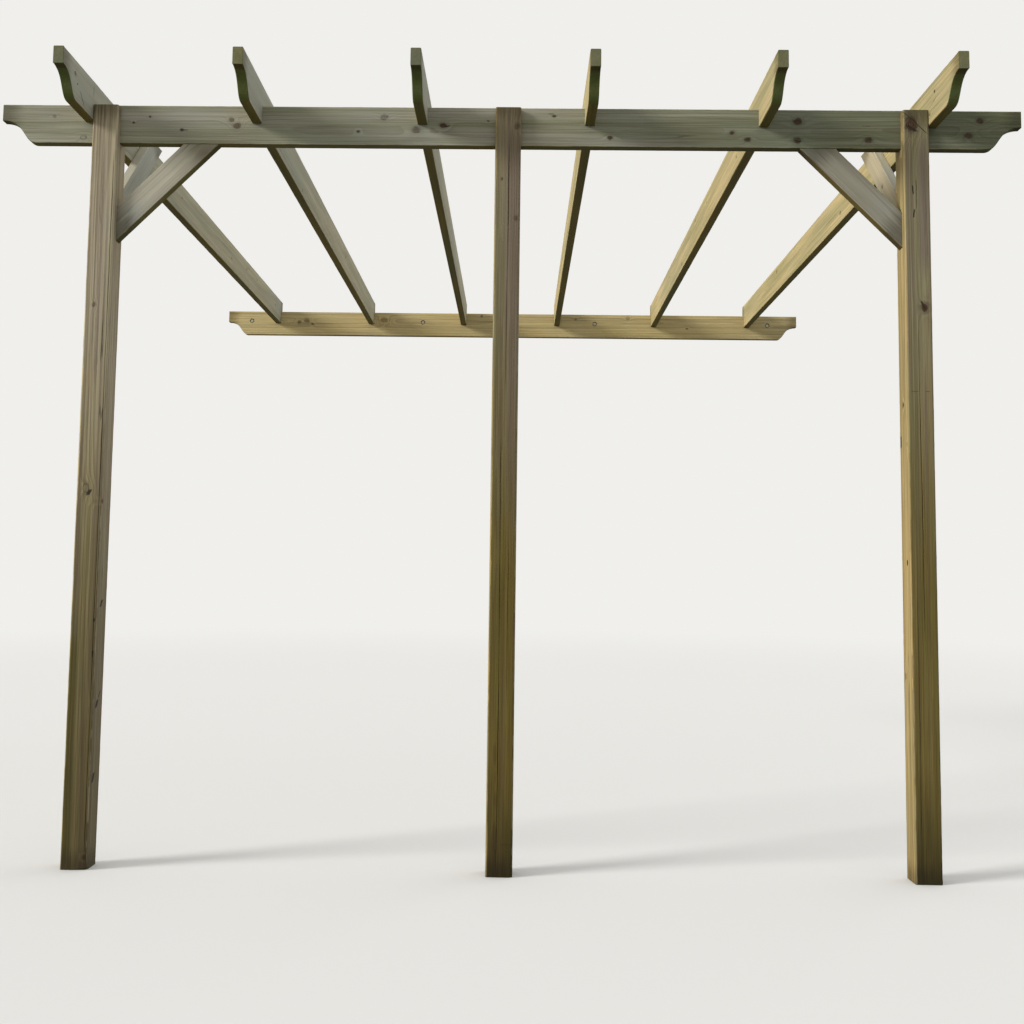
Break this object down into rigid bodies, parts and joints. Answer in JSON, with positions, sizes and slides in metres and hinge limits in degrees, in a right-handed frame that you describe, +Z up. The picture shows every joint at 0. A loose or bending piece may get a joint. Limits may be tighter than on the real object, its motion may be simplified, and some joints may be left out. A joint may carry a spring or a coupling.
{
  "type": "wall-mounted timber pergola",
  "caption": "Lean-to timber pergola: posts and a front beam carry level rafters that run back to a wall plate, with knee braces and S-curved board ends.",
  "frame": {"origin": "middle of the wall plate's flat back face, which lies on the wall", "axes": "+X to the right along the wall as seen from the front, +Y into the wall, +Z up"},
  "size_m": [3.6, 3.6, 2.724],
  "materials": {
    "beam_timber": "planed, pressure-treated, weathered",
    "plate_timber": "planed, pressure-treated",
    "post_timber": "planed, pressure-treated, weathered",
    "brace_timber": "planed, pressure-treated, weathered",
    "rafter_timber": "planed, pressure-treated"
  },
  "bodies": {
    "root": {"front_beam": "beam_timber", "wall_plate": "plate_timber", "post_left": "post_timber", "post_centre": "post_timber", "post_right": "post_timber", "front_brace_left": "brace_timber", "front_brace_right": "brace_timber", "back_brace_left": "brace_timber", "back_brace_right": "brace_timber", "rafter_1": "rafter_timber", "rafter_2": "rafter_timber", "rafter_3": "rafter_timber", "rafter_4": "rafter_timber", "rafter_5": "rafter_timber", "rafter_6": "rafter_timber"}
  },
  "joints": []
}
